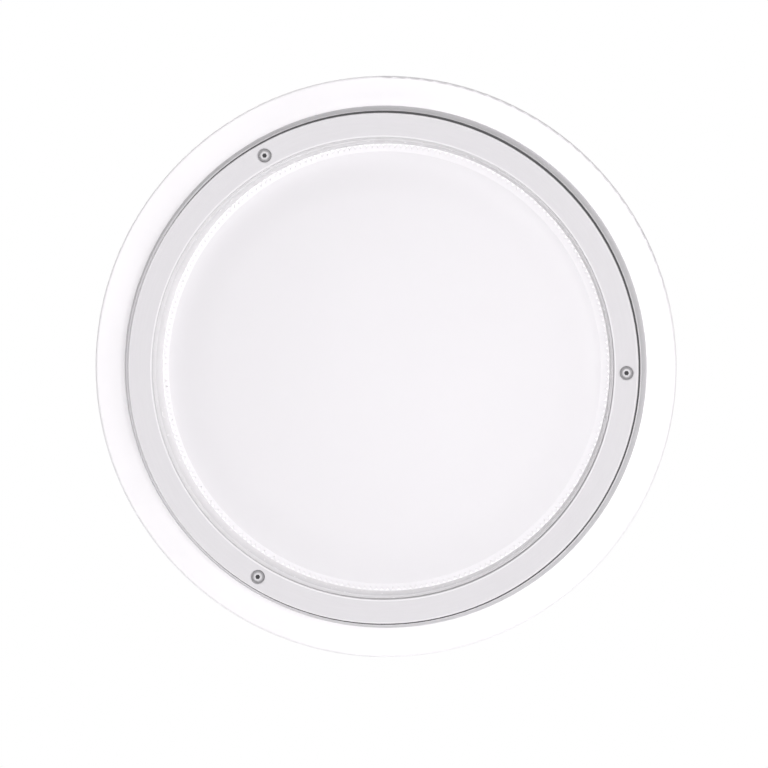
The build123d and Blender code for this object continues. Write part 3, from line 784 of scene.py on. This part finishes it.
class PORCHLIGHT_OT_inside(bpy.types.Operator):
    """Finish the pieces that show from behind or with the cover off"""

    bl_idname = "porch_light.inside"
    bl_label = "Back and inside"

    def execute(self, context):
        wear(brushed_sheet("bare_aluminium", (0.75, 0.755, 0.76), roughness=0.32),
             "back_plate", "clamp_ring")
        wear(plated("zinc_plating", (0.62, 0.62, 0.64), roughness=0.35, share=0.1),
             "plate_screws", "drum_screws", "tray_screws", "led_board_screws", "clamp_screws",
             "driver_screws", "terminal_fixing_screw")
        wear(plated("brass", (0.72, 0.5, 0.2), roughness=0.3, share=0.08),
             "threaded_inserts", "terminal_screws")
        wear(grained("foam", (0.06, 0.06, 0.065), roughness=0.9, share=0.3, scale=2200,
                     relief=0.0003), "wall_seal")
        wear(grained("grey_rubber", (0.14, 0.14, 0.145), roughness=0.7),
             "cable_grommet", "blanking_plug")
        wear(grained("white_paint", (0.88, 0.88, 0.88), roughness=0.45, share=0.01, scale=900),
             "gear_tray")
        wear(grained("solder_mask", (0.84, 0.85, 0.86), roughness=0.35, share=0.015, scale=400),
             "led_board")
        wear(grained("nylon", (0.82, 0.81, 0.78), roughness=0.45, share=0.02),
             "led_connector", "terminal_block")
        wear(grained("driver_plastic", (0.8, 0.8, 0.8), roughness=0.5, share=0.02, scale=1500,
                     relief=0.00004), "driver_case", "driver_lid")
        wear(grained("circuit_board", (0.02, 0.16, 0.06), roughness=0.35, share=0.2, scale=300),
             "driver_circuit")
        wear(grained("coil_tape", (0.72, 0.5, 0.06), roughness=0.4, share=0.06), "driver_coil")
        wear(grained("capacitor_sleeve", (0.03, 0.03, 0.06), roughness=0.25), "driver_capacitors")
        wear(grained("brown_lead", (0.13, 0.05, 0.02), roughness=0.45), "live_lead")
        wear(grained("blue_lead", (0.01, 0.06, 0.35), roughness=0.45), "neutral_lead")
        wear(grained("red_lead", (0.4, 0.01, 0.01), roughness=0.45), "positive_lead")
        wear(grained("black_lead", (0.02, 0.02, 0.02), roughness=0.45), "negative_lead")
        wear(grained("led_body", (0.85, 0.72, 0.25), roughness=0.4), "led_chips")
        return {"FINISHED"}


# Stage


def direction(azimuth, elevation):
    """Direction from the light's front to a point at a turn to the right and a height."""
    flat = math.cos(elevation)
    return Vector((math.sin(azimuth) * flat, -math.cos(azimuth) * flat, math.sin(elevation)))


def make_floor(stage):
    """Round pale floor far below the light, with a faint glow that keeps it pale."""
    mesh = bmesh.new()
    bmesh.ops.create_circle(
        mesh, cap_ends=True, segments=FLOOR_SIDES, radius=stage.floor_radius
    )
    bmesh.ops.translate(mesh, verts=mesh.verts, vec=(0, 0, -stage.floor_drop))
    floor = piece_from("floor", mesh)
    paint = grained("floor_paint", (0.86, 0.86, 0.86), roughness=0.7, share=0.01, scale=20)
    shader = paint.node_tree.nodes["Principled BSDF"]
    shader.inputs["Emission Color"].default_value = (*stage.tint, 1)
    shader.inputs["Emission Strength"].default_value = stage.floor_glow
    floor.data.materials.append(paint)


def make_world(scene, stage):
    """Soft light from all round, and plain white for the camera and in reflections."""
    world = bpy.data.worlds.new("studio")
    world.use_nodes = True
    scene.world = world
    tree = world.node_tree
    ambient = tree.nodes["Background"]
    ambient.inputs["Color"].default_value = (*stage.tint, 1)
    ambient.inputs["Strength"].default_value = stage.ambient
    white = tree.nodes.new("ShaderNodeBackground")
    white.inputs["Color"].default_value = (1, 1, 1, 1)
    path = tree.nodes.new("ShaderNodeLightPath").outputs
    mirrored = math_node(tree, "MAXIMUM", path["Is Glossy Ray"], path["Is Transmission Ray"])
    seen = math_node(tree, "MAXIMUM", path["Is Camera Ray"], mirrored)
    mix = tree.nodes.new("ShaderNodeMixShader")
    tree.links.new(seen, mix.inputs[0])
    tree.links.new(ambient.outputs[0], mix.inputs[1])
    tree.links.new(white.outputs[0], mix.inputs[2])
    tree.links.new(mix.outputs[0], tree.nodes["World Output"].inputs["Surface"])


def make_lamp(name, tint, strength, target, size, distance, azimuth, elevation):
    """Square soft lamp that faces a point, where a strength of 1 shows a white card as white."""
    lamp = bpy.data.lights.new(name, "AREA")
    lamp.energy = strength * (math.pi * distance) ** 2
    lamp.size = size
    lamp.color = tint
    holder = bpy.data.objects.new(name, lamp)
    away = direction(math.radians(azimuth), math.radians(elevation))
    holder.location = target + away * distance
    holder.rotation_mode = "QUATERNION"
    holder.rotation_quaternion = (-away).to_track_quat("-Z", "Y")
    bpy.context.scene.collection.objects.link(holder)


def make_camera(scene, stage, front):
    """Long-lens camera a little above and to the right of the light's axis."""
    data = bpy.data.cameras.new("camera")
    data.lens = stage.lens
    camera = bpy.data.objects.new("camera", data)
    scene.collection.objects.link(camera)
    away = direction(stage.azimuth, stage.elevation)
    turn = (-away).to_track_quat("-Z", "Y") @ Quaternion((0, 0, 1), stage.roll)
    aim = turn @ Vector((stage.aim_right, -stage.aim_down, 0))
    camera.rotation_mode = "QUATERNION"
    camera.rotation_quaternion = turn
    camera.location = front + away * stage.distance + aim
    scene.camera = camera


class PORCHLIGHT_OT_stage(bpy.types.Operator):
    """Set up the floor, the world, the lamps and the camera"""

    bl_idname = "porch_light.stage"
    bl_label = "Floor, lamps and camera"

    def execute(self, context):
        stage = context.scene.porch_light_stage
        context.scene.view_settings.view_transform = "Standard"
        make_floor(stage)
        make_world(context.scene, stage)
        front = Vector((0, -depth_of("trim_ring")[1], 0))
        make_lamp("key_lamp", stage.tint, stage.key, front,
                  size=1.6, distance=5.0, azimuth=3, elevation=1)
        make_lamp("side_lamp", stage.tint, stage.side, front,
                  size=3.0, distance=4.0, azimuth=30, elevation=30)
        make_lamp("back_lamp", stage.tint, stage.back, front,
                  size=3.0, distance=4.0, azimuth=200, elevation=20)
        make_camera(context.scene, stage, front)
        return {"FINISHED"}


class VIEW3D_PT_porch_light(bpy.types.Panel):
    """Sizes, colours and steps of the flush light"""

    bl_label = "Porch light"
    bl_space_type = "VIEW_3D"
    bl_region_type = "UI"
    bl_category = "Porch light"

    def draw(self, context):
        for name, kind in GROUPS.items():
            box = self.layout.box()
            for value in kind.__annotations__:
                box.prop(getattr(context.scene, name), value)
        for step in STEPS:
            self.layout.operator(step.bl_idname)


STEPS = (
    PORCHLIGHT_OT_diffuser,
    PORCHLIGHT_OT_seal,
    PORCHLIGHT_OT_rim_gasket,
    PORCHLIGHT_OT_outside,
    PORCHLIGHT_OT_inside,
    PORCHLIGHT_OT_stage,
)
GROUPS = {
    "porch_light_sizes": PorchLightSizes,
    "porch_light_finishes": PorchLightFinishes,
    "porch_light_stage": PorchLightStage,
}


def register():
    for group in GROUPS.values():
        bpy.utils.register_class(group)
    for name, group in GROUPS.items():
        setattr(bpy.types.Scene, name, PointerProperty(type=group))
    for step in STEPS:
        bpy.utils.register_class(step)
    bpy.utils.register_class(VIEW3D_PT_porch_light)


def unregister():
    bpy.utils.unregister_class(VIEW3D_PT_porch_light)
    for step in reversed(STEPS):
        bpy.utils.unregister_class(step)
    for name in GROUPS:
        delattr(bpy.types.Scene, name)
    for group in reversed(GROUPS.values()):
        bpy.utils.unregister_class(group)


def main():
    register()
    bpy.ops.porch_light.diffuser()
    bpy.ops.porch_light.seal()
    bpy.ops.porch_light.rim_gasket()
    bpy.ops.porch_light.outside()
    bpy.ops.porch_light.inside()
    bpy.ops.porch_light.stage()


if __name__ == "__main__":
    main()
